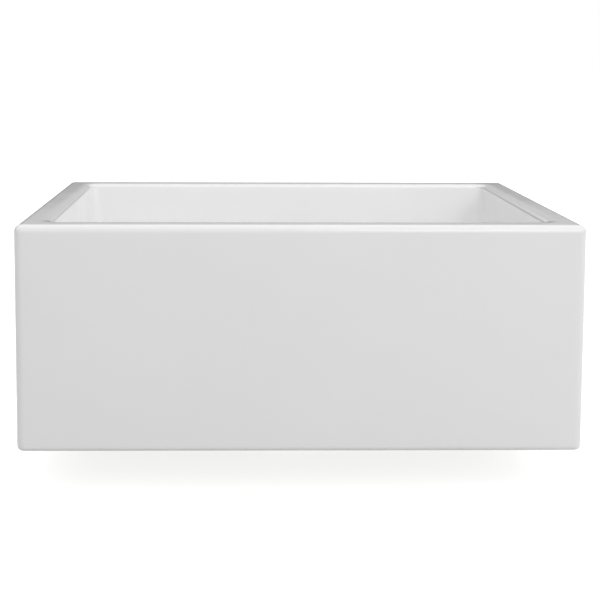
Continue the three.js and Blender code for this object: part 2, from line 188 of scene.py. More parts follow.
def maths(tree, operation, a, b=0):
    node = tree.nodes.new("ShaderNodeMath")
    node.operation = operation
    for socket, value in zip(node.inputs, (a, b)):
        if isinstance(value, (int, float)):
            socket.default_value = value
        else:
            tree.links.new(value, socket)
    return node.outputs[0]


def noise(tree, place, scale, detail=2.0):
    node = tree.nodes.new("ShaderNodeTexNoise")
    node.inputs["Scale"].default_value = scale
    node.inputs["Detail"].default_value = detail
    tree.links.new(place, node.inputs["Vector"])
    return node.outputs["Fac"]


def ranged(tree, value, low, high, fromLow=0.3, fromHigh=0.7):  # noise lies mostly between 0.3 and 0.7
    node = tree.nodes.new("ShaderNodeMapRange")
    tree.links.new(value, node.inputs["Value"])
    limits = {"From Min": fromLow, "From Max": fromHigh, "To Min": low, "To Max": high}
    for socket, number in limits.items():
        node.inputs[socket].default_value = number
    return node.outputs["Result"]


def blended(tree, factor, first, second):
    node = tree.nodes.new("ShaderNodeMix")
    node.data_type = "RGBA"
    tree.links.new(factor, node.inputs["Factor"])
    for socket, colour in ((node.inputs["A"], first), (node.inputs["B"], second)):
        if isinstance(colour, tuple):
            socket.default_value = (*colour, 1)
        else:
            tree.links.new(colour, socket)
    return node.outputs["Result"]


def raised(tree, height, strength, distance, under=None):
    node = tree.nodes.new("ShaderNodeBump")
    node.inputs["Strength"].default_value = strength
    node.inputs["Distance"].default_value = distance
    tree.links.new(height, node.inputs["Height"])
    if under:
        tree.links.new(under, node.inputs["Normal"])
    return node.outputs["Normal"]


def roundTheAxis(tree):  # (distance from the drain's axis, 0, height): a pattern on it runs in lathe rings
    place = splitPlace(tree, objectPlace(tree))
    x = maths(tree, "SUBTRACT", place["X"], drain.x)
    y = maths(tree, "SUBTRACT", place["Y"], drain.y)
    squares = maths(tree, "ADD", maths(tree, "MULTIPLY", x, x), maths(tree, "MULTIPLY", y, y))
    joined = tree.nodes.new("ShaderNodeCombineXYZ")
    tree.links.new(maths(tree, "SQRT", squares), joined.inputs["X"])
    tree.links.new(place["Z"], joined.inputs["Z"])
    return joined.outputs[0]


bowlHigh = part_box("sink_body")[1]
glazeFinish = {
    "light": (0.885, 0.885, 0.885), "shade": (0.872, 0.872, 0.872), "cloudScale": 7.0, "ior": 1.52,
    "gloss": (0.07, 0.11), "glossScale": 30.0,
    "waveScale": 16.0, "waveDepth": 0.0006, "peelScale": 420.0, "peelDepth": 0.00003, "bump": 0.5,
    "biscuit": (0.70, 0.665, 0.60), "biscuitDark": (0.60, 0.56, 0.50), "gritScale": 900.0, "dryness": 0.85,
    "wipedBelow": 0.0052, "wipedInside": 0.006, "wipedWander": 0.0006, "wanderScale": 60.0,
    # the nose-line colour and its placing below: painted shade, a darker line along the nose of the side
    # rims
    "noseShadeColour": (0.68, 0.68, 0.68), "noseShadeBelowRim": 0.0037, "noseShadeCore": 0.0003, "noseShadeReach": 0.0014,
    "noseShadeSides": (0.045, 0.034), "noseShadeInside": 0.02,
}


def insideBoth(tree, x, y, inset):  # 1 where both stay this far inside the outer faces
    inX = maths(tree, "LESS_THAN", x, bowlHigh.x - inset)
    inY = maths(tree, "LESS_THAN", y, bowlHigh.y - inset)
    return maths(tree, "MULTIPLY", inX, inY)


def paintedNoseShade(tree, x, y, z):  # painted shade: a darker line where the side rims turn down, standing in for the dark reflection and shade along the lip's nose
    use = glazeFinish
    away = maths(tree, "ABSOLUTE", maths(tree, "SUBTRACT", z, bowlHigh.z - use["noseShadeBelowRim"]))
    line = ranged(tree, away, 1, 0, use["noseShadeCore"], use["noseShadeReach"])
    sides = ranged(tree, x, 0, 1, *(bowlHigh.x - inset for inset in use["noseShadeSides"]))
    inside = insideBoth(tree, x, y, use["noseShadeInside"])
    return maths(tree, "MULTIPLY", maths(tree, "MULTIPLY", line, sides), inside)


def wipedFoot(tree, place, x, y, z):  # bare biscuit under the foot, with a slightly wandering edge
    use = glazeFinish
    wander = ranged(tree, noise(tree, place, use["wanderScale"]), -use["wipedWander"], use["wipedWander"])
    low = maths(tree, "LESS_THAN", maths(tree, "ADD", z, wander), use["wipedBelow"])
    wanderX, wanderY = maths(tree, "ADD", x, wander), maths(tree, "ADD", y, wander)
    return maths(tree, "MULTIPLY", low, insideBoth(tree, wanderX, wanderY, use["wipedInside"]))


def glazeMaterial():
    use = glazeFinish
    material, tree, shader = startMaterial("white_glaze", {"IOR": use["ior"]})
    place = objectPlace(tree)
    split = splitPlace(tree, place)
    x, y = maths(tree, "ABSOLUTE", split["X"]), maths(tree, "ABSOLUTE", split["Y"])
    cloud = noise(tree, place, use["cloudScale"])
    glazed = blended(tree, ranged(tree, cloud, 0, 1), use["shade"], use["light"])
    # painted shade: darkens the base colour in a line along the side rims' nose
    glazed = blended(tree, paintedNoseShade(tree, x, y, split["Z"]), glazed, use["noseShadeColour"])
    grit = noise(tree, place, use["gritScale"], 4.0)
    bare = blended(tree, ranged(tree, grit, 0, 1), use["biscuitDark"], use["biscuit"])
    wiped = wipedFoot(tree, place, x, y, split["Z"])
    tree.links.new(blended(tree, wiped, glazed, bare), shader.inputs["Base Color"])
    gloss = ranged(tree, noise(tree, place, use["glossScale"]), *use["gloss"])
    dry = maths(tree, "MULTIPLY", wiped, use["dryness"])
    tree.links.new(maths(tree, "MAXIMUM", gloss, dry), shader.inputs["Roughness"])
    wave = raised(tree, noise(tree, place, use["waveScale"], 1.0), use["bump"], use["waveDepth"])
    peel = raised(tree, noise(tree, place, use["peelScale"], 2.0), use["bump"], use["peelDepth"], wave)
    tree.links.new(peel, shader.inputs["Normal"])
    return material


spunFinishes = {
    "satin_stainless": {
        "light": (0.66, 0.66, 0.67), "dark": (0.60, 0.60, 0.61), "gloss": (0.20, 0.34),
        "lines": 2600.0, "depth": 0.00002, "anisotropy": 0.3,
    },
    "polished_stainless": {
        "light": (0.70, 0.70, 0.71), "dark": (0.66, 0.66, 0.67), "gloss": (0.10, 0.20),
        "lines": 1800.0, "depth": 0.00001, "anisotropy": 0.0,
    },
    "chrome_plate": {
        "light": (0.80, 0.81, 0.82), "dark": (0.76, 0.77, 0.78), "gloss": (0.05, 0.10),
        "lines": 400.0, "depth": 0.000005, "anisotropy": 0.0,
    },
}


lathe = {"filmScale": 60.0, "detail": 3.0, "ringShare": 0.6, "filmShare": 0.4, "bump": 0.4}


def spunMetal(name):  # fine lathe rings under a faint film
    use = spunFinishes[name]
    material, tree, shader = startMaterial(name, {"Metallic": 1.0, "Anisotropic": use["anisotropy"]})
    rings = noise(tree, roundTheAxis(tree), use["lines"], lathe["detail"])
    film = noise(tree, objectPlace(tree), lathe["filmScale"], lathe["detail"])
    colour = blended(tree, ranged(tree, film, 0, 1), use["dark"], use["light"])
    tree.links.new(colour, shader.inputs["Base Color"])
    ringShare = maths(tree, "MULTIPLY", rings, lathe["ringShare"])
    mixed = maths(tree, "ADD", ringShare, maths(tree, "MULTIPLY", film, lathe["filmShare"]))
    tree.links.new(ranged(tree, mixed, *use["gloss"]), shader.inputs["Roughness"])
    tree.links.new(raised(tree, rings, lathe["bump"], use["depth"]), shader.inputs["Normal"])
    return material


grainedFinishes = {
    "cast_zinc": {
        "light": (0.50, 0.505, 0.515), "dark": (0.40, 0.405, 0.415), "gloss": (0.38, 0.52),
        "grain": 700.0, "depth": 0.00008, "shader": {"Metallic": 1.0},
    },
    "black_rubber": {
        "light": (0.028, 0.028, 0.029), "dark": (0.016, 0.016, 0.017), "gloss": (0.55, 0.75),
        "grain": 900.0, "depth": 0.00004, "shader": {"Specular IOR Level": 0.4},
    },
    "pressed_fibre": {
        "light": (0.46, 0.31, 0.17), "dark": (0.30, 0.19, 0.10), "gloss": (0.8, 0.95),
        "grain": 1400.0, "depth": 0.00006, "shader": {"Specular IOR Level": 0.2},
    },
    "nylon": {
        "light": (0.76, 0.74, 0.69), "dark": (0.71, 0.69, 0.64), "gloss": (0.38, 0.5),
        "grain": 500.0, "depth": 0.00002,
        "shader": {"Subsurface Weight": 0.15, "Subsurface Radius": (0.002, 0.002, 0.0018)},
    },
}


graining = {
    "fineDetail": 5.0, "broadDetail": 2.0, "broader": 12, "fineShare": 0.5, "broadShare": 0.5, "bump": 0.5,
}


def grainedMaterial(name):  # a fine grain over broad patches, the same in every direction
    use = grainedFinishes[name]
    material, tree, shader = startMaterial(name, use["shader"])
    place = objectPlace(tree)
    fine = noise(tree, place, use["grain"], graining["fineDetail"])
    broad = noise(tree, place, use["grain"] / graining["broader"], graining["broadDetail"])
    fineShare = maths(tree, "MULTIPLY", fine, graining["fineShare"])
    mixed = maths(tree, "ADD", fineShare, maths(tree, "MULTIPLY", broad, graining["broadShare"]))
    colour = blended(tree, ranged(tree, mixed, 0, 1), use["dark"], use["light"])
    tree.links.new(colour, shader.inputs["Base Color"])
    tree.links.new(ranged(tree, broad, *use["gloss"]), shader.inputs["Roughness"])
    tree.links.new(raised(tree, fine, graining["bump"], use["depth"]), shader.inputs["Normal"])
    return material


glaze = glazeMaterial()
stainless, polished, chrome = (spunMetal(name) for name in spunFinishes)
zinc, rubber, fibre, nylon = (grainedMaterial(name) for name in grainedFinishes)
print("materials ready")


# Fireclay bowl: a closed skin drawn through level rings, from the foot over the rim and down the drain.

bowl = {
    "rim": 0.035, "uprightEdge": 0.009, "topEdge": 0.008, "bottomEdge": 0.005, "draft": 1.2,
    "lip": 0.015, "lipDrop": 0.0045, "lipCrown": 0.009, "lipNose": 0.0035, "lipSteps": 10,
    "cornerAtRim": 0.012, "cornerAtFloor": 0.046, "floorFillet": 0.032, "floorFall": 0.005,
    "leastUpright": 0.002, "leastCorner": 0.004,
    "seat": 0.027, "recess": 0.0033, "recessRadius": 0.0595, "hole": 0.045, "glazedEdge": 0.001,
    "easedRise": 0.3, "near": 3, "far": 5,  # in glazed edges
    "panel": 0.004, "foot": 0.034, "footChamfer": 0.002, "wallShares": (0.25, 0.5, 0.75),
    "hold": 0.003,  # from an edge to the ring that keeps it tight
    "cornerSteps": 6, "bottomSteps": 4, "topSteps": 6, "filletSteps": 7, "spokeCuts": 5, "smooth": 2,
}


def inTurn(part, centre):  # the places of a ring's points, anticlockwise from the +X side
    nudge = 0.001  # keeps the first point from falling to either side of the start
    places = [v.co.copy() for v in part.verts]
    part.free()
    return sorted(places, key=lambda p: (atan2(p.y - centre.y, p.x - centre.x) + nudge) % fullTurn)


def levelRing(inset, corner, z):  # a rectangle in plan with round corners, held straight beside them
    halfX, halfY = bowlHigh.x - inset, bowlHigh.y - inset
    part = bmesh.new()
    bmesh.ops.create_grid(part, x_segments=1, y_segments=1, size=1)
    bmesh.ops.scale(part, vec=(halfX, halfY, 1), verts=part.verts[:])
    bmesh.ops.translate(part, vec=(0, 0, z), verts=part.verts[:])
    bmesh.ops.delete(part, geom=part.faces[:], context="FACES_ONLY")
    roundCorners(part, part.verts[:], corner, bowl["cornerSteps"])
    cuts = []
    for axis, half in ((0, halfX), (1, halfY)):
        straight = half - corner - bowl["hold"]
        cuts += [(axis, -straight), (axis, straight)]
    for axis, place in [*cuts, (0, 0), (1, 0)]:
        normal = Vector((0, 0, 0))
        normal[axis] = 1
        bmesh.ops.bisect_plane(
            part, geom=everything(part), dist=meshing["onPlane"], plane_co=normal * place, plane_no=normal,
        )
    return inTurn(part, Vector((0, 0)))


def roundRing(radius, z, steps):
    part = bmesh.new()
    circle(part, radius, z, steps, drain.x, drain.y)
    return inTurn(part, drain)


def spread(first, last, cuts):  # rings evenly between two
    shares = [i / (cuts + 1) for i in range(1, cuts + 1)]
    return [[a.lerp(b, share) for a, b in zip(first, last)] for share in shares]


def extrudeTo(bm, verts, places):  # draws a loop of points out to new places
    made = bmesh.ops.extrude_edge_only(bm, edges=edgesOf(verts))["geom"]
    fresh = {v for v in made if isinstance(v, bmesh.types.BMVert)}
    after = [next(e.other_vert(v) for e in v.link_edges if e.other_vert(v) in fresh) for v in verts]
    for v, place in zip(after, places):
        v.co = place
    return after


def arcPoints(centreX, centreZ, radius, start, end, steps):
    turns = [radians(start + (end - start) * i / steps) for i in range(steps + 1)]
    return [(centreX + radius * cos(a), centreZ + radius * sin(a)) for a in turns]


def outerPoints():  # (inset, height) from the foot up the outer faces to the flat of the rim
    use = bowl
    top, hold = bowlHigh.z, use["hold"]
    low, high = use["bottomEdge"], use["topEdge"]
    points = [(low + hold, 0), *arcPoints(low, low, low, 270, 180, use["bottomSteps"])]
    points += [(0, low + hold), (0, top / 2), (0, top - high - hold)]
    points += arcPoints(high, top - high, high, 180, 90, use["topSteps"])
    return points + [(high + hold / 2, top)]


def innerPoints(wallTop, wallFoot, filletTop):  # from the flat of the rim over the lip down to the floor
    use = bowl
    top, hold, rim, fillet = bowlHigh.z, use["hold"], use["rim"], use["floorFillet"]
    lipStart = rim - use["lip"]
    crown, nose = lipStart + use["lipCrown"], wallTop + use["lipNose"]
    corners = [Vector(corner) for corner in ((lipStart, top), (crown, top), (rim, nose), (rim, wallTop))]
    points = [(lipStart - hold / 2, top)]
    points += [(p.x, p.y) for p in interpolate_bezier(*corners, use["lipSteps"])]
    wall = Vector((wallFoot - rim, filletTop - wallTop))
    held = hold / wall.length
    shares = (held, *use["wallShares"], 1 - held)
    points += [(rim + wall.x * share, wallTop + wall.y * share) for share in shares]
    return points + arcPoints(wallFoot + fillet, filletTop, fillet, 180, 270, use["filletSteps"])


def bowlRings():  # the places of every ring's points, in the order of the skin
    use = bowl
    floorLow = use["seat"] + use["recess"]
    filletTop = floorLow + use["floorFall"] + use["floorFillet"]
    wallTop = bowlHigh.z - use["lipDrop"]
    wallFoot = use["rim"] + (wallTop - filletTop) * tan(radians(use["draft"]))
    rings = []
    for inset, z in outerPoints():
        rings.append(levelRing(inset, max(use["uprightEdge"] - inset, use["leastUpright"]), z))
    for inset, z in innerPoints(wallTop, wallFoot, filletTop):
        share = min(max((wallTop - z) / (wallTop - filletTop), 0), 1)
        corner = use["cornerAtRim"] + (use["cornerAtFloor"] - use["cornerAtRim"]) * share
        corner += max(use["rim"] - inset, 0) - max(inset - wallFoot, 0)
        rings.append(levelRing(inset, max(corner, use["leastCorner"]), z))
    steps = len(rings[0])
    edge, hole, recess = use["glazedEdge"], use["hole"], use["recessRadius"]
    seat, panel = use["seat"], use["panel"]
    near, far = edge * use["near"], edge * use["far"]
    eased = floorLow + edge * use["easedRise"]
    rings += spread(rings[-1], roundRing(recess + far, eased, steps), use["spokeCuts"])
    rings += [roundRing(radius, z, steps) for radius, z in (
        (recess + far, eased), (recess + edge, floorLow), (recess, floorLow - edge),
        (recess, seat + edge), (recess - edge, seat), (recess - near, seat), (hole + near, seat),
        (hole + edge, seat), (hole, seat - edge), (hole, seat - near), (hole, panel + near),
        (hole, panel + edge), (hole + edge, panel), (hole + near, panel),
    )]
    foot, chamfer, hold = use["foot"], use["footChamfer"], use["hold"]
    footRings = [levelRing(inset, use["cornerAtRim"], z) for inset, z in (
        (foot + hold, panel), (foot, panel), (foot - chamfer, 0), (foot - chamfer - hold, 0),
    )]
    return rings + spread(rings[-1], footRings[0], use["spokeCuts"]) + footRings + rings[:1]


def makeBowl():
    rings = bowlRings()
    bm = bmesh.new()
    loop = [bm.verts.new(place) for place in rings[0]]
    for a, b in zip(loop, loop[1:] + loop[:1]):
        bm.edges.new((a, b))
    for places in rings[1:]:
        loop = extrudeTo(bm, loop, places)
    levels = bowl["smooth"]
    finishPiece("fireclay_bowl", bm, glaze, "sink", "sink_body", levels=levels, at=(0, 0, 0))


makeBowl()
print("fireclay bowl ready")


# Rings, washers and plates

washerSteps = 72
washers = {  # CAD node, material, slot, body, radius of the edges
    "gasket_ring": ("flange_gasket", rubber, "black_rubber", "sink", 0.0006),
    "rubber_ring": ("rubber_washer", rubber, "black_rubber", "sink", 0.0012),
    "fibre_ring": ("friction_washer", fibre, "fibre", "sink", 0.0002),
    "nylon_ring": ("tailpiece_washer", nylon, "nylon", "sink", 0.0004),
    "lower_plate": ("stopper_plate_lower", polished, "stainless", "stopper_post", 0.00025),
    "upper_plate": ("stopper_plate_upper", polished, "stainless", "stopper_post", 0.00025),
    "cup_washer": ("basket_washer", polished, "stainless", "stopper_post", 0.00025),
}


def makeWasher(name, node, material, slot, body, edge):
    outer, bore, low, high = measured(node)
    bm = bmesh.new()
    corners = wire(bm, [(bore, low), (outer, low), (outer, high), (bore, high)], closed=True)
    roundCorners(bm, corners, edge, 3)
    turnFull(bm, washerSteps)
    finishPiece(name, bm, material, body, node)


for washerName, washerSettings in washers.items():
    makeWasher(washerName, *washerSettings)
print("washers ready")


# Strainer body: flange, throat and bowl of one sheet, with a cross pierced in its floor

strainer = {
    "sheet": 0.0012, "flangeBend": 0.004, "lip": 0.0014, "bowlBend": 0.007, "steps": 96,
    "window": 0.021, "windowSteps": 8, "hub": 0.008, "hubSteps": 4, "hubHole": 0.0047, "holeSteps": 32,
    "arm": 0.005, "windowCorner": 0.0012, "floorEdge": 0.024, "throatShare": 0.75, "lipShare": 0.98,
}


def addWindow(bm, quarter):
    use = strainer
    half = use["arm"] / 2
    turn = quarter * pi / 2
    ends = []
    for radius, steps in ((use["window"], use["windowSteps"]), (use["hub"], use["hubSteps"])):
        inset = atan2(half, (radius ** 2 - half ** 2) ** 0.5)
        start = bm.verts.new((radius * cos(turn + inset), radius * sin(turn + inset), 0))
        last = sweep(bm, [start], pi / 2 - 2 * inset, steps)
        ends.append((start, next(v for v in last if isinstance(v, bmesh.types.BMVert))))
    (outerStart, outerEnd), (innerStart, innerEnd) = ends
    bm.edges.new((outerStart, innerStart))
    bm.edges.new((outerEnd, innerEnd))
    roundCorners(bm, [outerStart, outerEnd, innerStart, innerEnd], use["windowCorner"], 3)


def throatRadius():  # middle of the sheet, measured on the throat away from its bends
    _, _, low, high = measured("strainer_body")
    middle, reach = (low + high) / 2, (high - low) / 2 * strainer["throatShare"]
    throat = [v.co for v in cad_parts["strainer_body"].data.vertices if abs(v.co.z - middle) < reach]
    radii = [hypot(place.x - drain.x, place.y - drain.y) for place in throat]
    return (max(radii) + min(radii)) / 2


def strainerFloor(height):
    use = strainer
    floor = bmesh.new()
    circle(floor, use["floorEdge"], 0, use["steps"])
    circle(floor, use["hubHole"], 0, use["holeSteps"])
    for quarter in range(4):
        addWindow(floor, quarter)
    bmesh.ops.triangle_fill(floor, use_beauty=True, use_dissolve=False, edges=floor.edges[:])
    bmesh.ops.translate(floor, vec=(0, 0, height), verts=floor.verts[:])
    return floor


def makeStrainer():
    use = strainer
    outer, _, low, high = measured("strainer_body")
    half = use["sheet"] / 2
    throat = throatRadius()
    bm = bmesh.new()
    line = wire(bm, [
        (outer - half, high - half - use["lip"]), (outer - half, high - half), (throat, high - half),
        (throat, low + half), (use["floorEdge"], low + half),
    ])
    roundCorners(bm, [line[1]], use["lip"] * use["lipShare"], 3)  # just short of the lip's end
    roundCorners(bm, [line[2]], use["flangeBend"], 5)
    roundCorners(bm, [line[3]], use["bowlBend"], 6)
    turnFull(bm, use["steps"])
    joinPart(bm, strainerFloor(low + half))
    finishPiece(
        "drawn_strainer", bm, stainless, "sink", "strainer_body", wall=use["sheet"], levels=1,
    )


makeStrainer()
print("strainer ready")


# Threads: a small triangle swept up a helix

threads = {
    "pitch": 0.0018, "height": 0.00032, "sunk": 0.0001, "crest": 0.4, "root": 0.8, "stepsInTurn": 48,
    "belowNut": 0.001, "aboveNut": 0.017, "plainEnd": 0.001,
}


def makeThread(name, radius, low, high, material):
    use = threads
    pitch = use["pitch"]
    foot, tip = radius - use["sunk"], radius + use["height"]
    bm = bmesh.new()
    corners = ((foot, 0), (tip, pitch * use["crest"]), (foot, pitch * use["root"]))
    bm.faces.new([bm.verts.new((x, 0, low + z)) for x, z in corners])
    turns = int((high - low) / pitch) - 1
    steps = use["stepsInTurn"] * turns
    sweep(bm, everything(bm), fullTurn * turns, steps, rise=pitch / use["stepsInTurn"])
    finishPiece(name, bm, material, "sink", None, sharp=20)


def makeStrainerThread():
    _, _, nutLow, nutHigh = measured("lock_nut")
    radius = strainer["sheet"] / 2 + throatRadius()
    low, high = nutLow - threads["belowNut"], nutHigh + threads["aboveNut"]
    makeThread("strainer_thread", radius, low, high, stainless)


makeStrainerThread()


# Nuts with lugs or ribs for the hand

lugs = {"steps": 96, "wide": 0.5, "narrow": 0.64, "onWall": 1e-4, "upright": 0.5}
lockNut = {"lug": 0.005, "count": 6, "edge": 0.0009}
couplingNut = {"lug": 0.0022, "count": 8, "lip": 0.0024, "inside": 0.0046, "edge": 0.00045}


def angleFrom(middle, place):
    return (atan2(place.y, place.x) - middle + pi) % fullTurn - pi


def pushLugs(bm, root, lug, count):  # lugs drawn out of the round wall, narrower at their tops
    half = fullTurn * lugs["wide"] / count / 2
    nearly = root - lugs["onWall"]
    upright = [f for f in bm.faces if abs(f.normal.z) < lugs["upright"]]
    wall = [f for f in upright if all(hypot(v.co.x, v.co.y) > nearly for v in f.verts)]
    middles = [fullTurn * i / count for i in range(count)]
    groups = []
    for middle in middles:
        groups.append([f for f in wall if abs(angleFrom(middle, f.calc_center_median())) < half])
    grown = (root + lug) / root
    for middle, group in zip(middles, groups):
        made = bmesh.ops.extrude_face_region(bm, geom=group)["geom"]
        bmesh.ops.delete(bm, geom=[f for f in group if f.is_valid], context="FACES_ONLY")
        verts = [v for v in made if isinstance(v, bmesh.types.BMVert)]
        bmesh.ops.scale(bm, vec=(grown, grown, 1), verts=verts)
        turned = Matrix.Rotation(-middle, 4, "Z")
        bmesh.ops.scale(bm, vec=(1, lugs["narrow"], 1), space=turned, verts=verts)
    bmesh.ops.delete(bm, geom=[e for e in bm.edges if not e.link_faces], context="EDGES")


def makeNut(name, use, points, root, material, node):
    bm = bmesh.new()
    wire(bm, points, closed=True)
    turnFull(bm, lugs["steps"])
    bmesh.ops.recalc_face_normals(bm, faces=bm.faces[:])
    pushLugs(bm, root, use["lug"], use["count"])
    softenEdges(bm, use["edge"], 3)
    finishPiece(name, bm, material, "sink", node)


def makeLockNut():
    use = lockNut
    outer, bore, low, high = measured("lock_nut")
    root = outer - use["lug"]
    points = [(bore, low), (root, low), (root, high), (bore, high)]
    makeNut("lugged_nut", use, points, root, zinc, "lock_nut")


def makeCouplingNut():
    use = couplingNut
    outer, hole, low, high = measured("coupling_nut")
    bore = measured("outlet_spud")[0] - use["inside"]
    root, lip = outer - use["lug"], low + use["lip"]
    points = [(hole, low), (root, low), (root, high), (bore, high), (bore, lip), (hole, lip)]
    makeNut("ribbed_nut", use, points, root, chrome, "coupling_nut")


makeLockNut()
makeCouplingNut()


# Outlet spud

spud = {"flange": 0.005, "flangeThick": 0.0025, "edge": 0.0004, "steps": 96}


def makeSpud():
    use = spud
    outer, bore, low, high = measured("outlet_spud")
    pipe = outer - use["flange"]
    flange = high - use["flangeThick"]
    bm = bmesh.new()
    points = [(bore, low), (pipe, low), (pipe, flange), (outer, flange), (outer, high), (bore, high)]
    roundCorners(bm, wire(bm, points, closed=True), use["edge"], 3)
    turnFull(bm, use["steps"])
    finishPiece("outlet_pipe", bm, chrome, "sink", "outlet_spud")
    plain = threads["plainEnd"]
    makeThread("outlet_thread", pipe, low + plain, flange - plain, chrome)


makeSpud()
print("nuts, spud and threads ready")


# Basket: post, clip, rubber bell, cup, nut and knob

post = {
    "tip": 0.001, "collar": 0.002, "collarHeight": 0.0016, "groove": 0.0008, "gap": 0.0003, "edge": 0.0002,
    "steps": 48,
}


def makePost():
    use = post
    outer, _, low, high = measured("basket_post")
    radius = outer - use["collar"]
    tip, inGroove = use["tip"], radius - use["groove"]
    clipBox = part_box("post_clip")
    clipLow, clipHigh = clipBox[0].z - use["gap"], clipBox[1].z + use["gap"]
    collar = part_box("stopper_plate_lower")[0].z - use["gap"] - use["collarHeight"]
    collarTop = collar + use["collarHeight"]
    bm = bmesh.new()
    line = wire(bm, [
        (0, low), (radius - tip, low), (radius, low + tip), (radius, clipLow), (inGroove, clipLow),
        (inGroove, clipHigh), (radius, clipHigh), (radius, collar), (outer, collar), (outer, collarTop),
        (radius, collarTop), (radius, high), (0, high),
    ])
    roundCorners(bm, line[1:-1], use["edge"], 2)
    turnFull(bm, use["steps"])
    finishPiece("turned_post", bm, polished, "stopper_post", "basket_post")


clip = {"slit": 0.0016, "barrel": 0.0003, "edge": 0.0003, "sharperThan": 50, "steps": 40}


def makeClip():
    use = clip
    outer, bore, low, high = measured("post_clip")
    end, middle = outer - use["barrel"], (low + high) / 2
    bm = bmesh.new()
    points = [(bore, low), (end, low), (outer, middle), (end, high), (bore, high)]
    bm.faces.new(wire(bm, points, closed=True))
    halfSlit = atan2(use["slit"] / 2, outer)
    bmesh.ops.rotate(bm, cent=(0, 0, 0), matrix=Matrix.Rotation(halfSlit, 3, "Z"), verts=bm.verts[:])
    sweep(bm, everything(bm), fullTurn - 2 * halfSlit, use["steps"])
    bmesh.ops.recalc_face_normals(bm, faces=bm.faces[:])
    softenEdges(bm, use["edge"], 2, use["sharperThan"])
    finishPiece("split_clip", bm, nylon, "stopper_post", "post_clip")


bell = {
    "sheet": 0.0026, "flatTo": 0.013, "edge": 0.0007, "hold": 0.0006, "steps": 64,
    # how far out and how far down each bend lies, as shares
    "shoulder": (0.6, 0.08), "side": (0.8, 0.42), "underShoulder": (0.45, 0.03), "underSide": 0.3,
}


def makeBell():
    use = bell
    outer, bore, low, high = measured("stopper_seal")
    half, edge, hold, flat = use["sheet"] / 2, use["edge"], use["hold"], use["flatTo"]
    web, lip = high - half, outer - half
    out, down = lip - flat, web - low
    top, under = web + half, web - half
    shoulder, side, underShoulder = use["shoulder"], use["side"], use["underShoulder"]
    bm = bmesh.new()
    wire(bm, [  # outwards over the top, round the lip and back inside
        (bore, top), (bore + hold, top), (flat, top), (flat + out * shoulder[0], top - down * shoulder[1]),
        (lip + half * side[0], top - down * side[1]), (lip + half, low + edge * 2),
        (lip + half, low + edge), (lip + half - edge, low), (lip - half + edge, low),
        (lip - half, low + edge), (lip - half, low + edge * 2),
        (lip - half - hold, under - down * use["underSide"]),
        (flat + out * underShoulder[0], under - down * underShoulder[1]), (flat, under),
        (bore + hold, under), (bore, under),
    ], closed=True)
    turnFull(bm, use["steps"])
    finishPiece("rubber_bell", bm, rubber, "stopper_post", "stopper_seal", levels=1)


cup = {
    "sheet": 0.001, "taper": 0.007, "corner": 0.006, "roll": 0.0014, "rollEnd": 0.35,
    "slots": 20, "slot": 0.003, "slotMargin": 0.0035, "slotEnd": 0.3,
    "hole": 0.0017, "holeSteps": 12, "circles": ((0.014, 8), (0.0205, 14)),  # radius, count
    "holeRim": 0.0004, "boreSteps": 32, "cornerShare": 0.8, "rollShare": 0.96,
}


# One bay of the wall with its slot, repeated round. Gives the floor's radius and height.
def cupWall(bm, outer, low, high):
    use = cup
    half, roll, corner = use["sheet"] / 2, use["roll"], use["corner"]
    floorLine, rollCentre = low + half, high - half - roll
    topRadius = outer - half - 2 * roll
    footRadius = topRadius - use["taper"]
    slope = (topRadius - footRadius) / (rollCentre - floorLine - corner)

    def wallAt(z):
        return topRadius - (rollCentre - z) * slope

    slotLow, slotHigh = low + corner + use["slotMargin"], rollCentre - use["slotMargin"]
    endStep = use["slot"] * use["slotEnd"]
    rows = [
        slotLow, slotLow + endStep, slotLow + 2 * endStep, (slotLow + slotHigh) / 2,
        slotHigh - 2 * endStep, slotHigh - endStep, slotHigh,
    ]
    edgeRing = footRadius - corner
    line = wire(bm, [
        (edgeRing, floorLine), (wallAt(floorLine), floorLine), *((wallAt(z), z) for z in rows),
        (topRadius, rollCentre), (topRadius, rollCentre + roll), (topRadius + 2 * roll, rollCentre + roll),
        (topRadius + 2 * roll, rollCentre - roll * use["rollEnd"]),
    ])
    roundCorners(bm, [line[1]], corner * use["cornerShare"], 4)
    roundCorners(bm, [line[-3]], roll * use["rollShare"], 3)
    roundCorners(bm, [line[-2]], roll * use["rollShare"], 3)
    pitch = fullTurn / use["slots"]
    slotAngle = use["slot"] / 2 / ((wallAt(slotLow) + wallAt(slotHigh)) / 2)
    barAngle = (pitch / 2 - slotAngle) / 2
    bmesh.ops.rotate(bm, cent=(0, 0, 0), matrix=Matrix.Rotation(-pitch / 2, 3, "Z"), verts=bm.verts[:])
    last = bm.verts[:] + bm.edges[:]
    for angle in (barAngle, barAngle, slotAngle, slotAngle, barAngle, barAngle):
        last = sweep(bm, last, angle, 1)

    def inSlot(place):
        return abs(atan2(place.y, place.x)) < slotAngle and slotLow < place.z < slotHigh

    cut = [f for f in bm.faces if inSlot(f.calc_center_median())]
    bmesh.ops.delete(bm, geom=cut, context="FACES")
    sweep(bm, everything(bm), pitch * (use["slots"] - 1), use["slots"] - 1, duplicate=True)
    mergeDoubles(bm)
    return edgeRing, floorLine


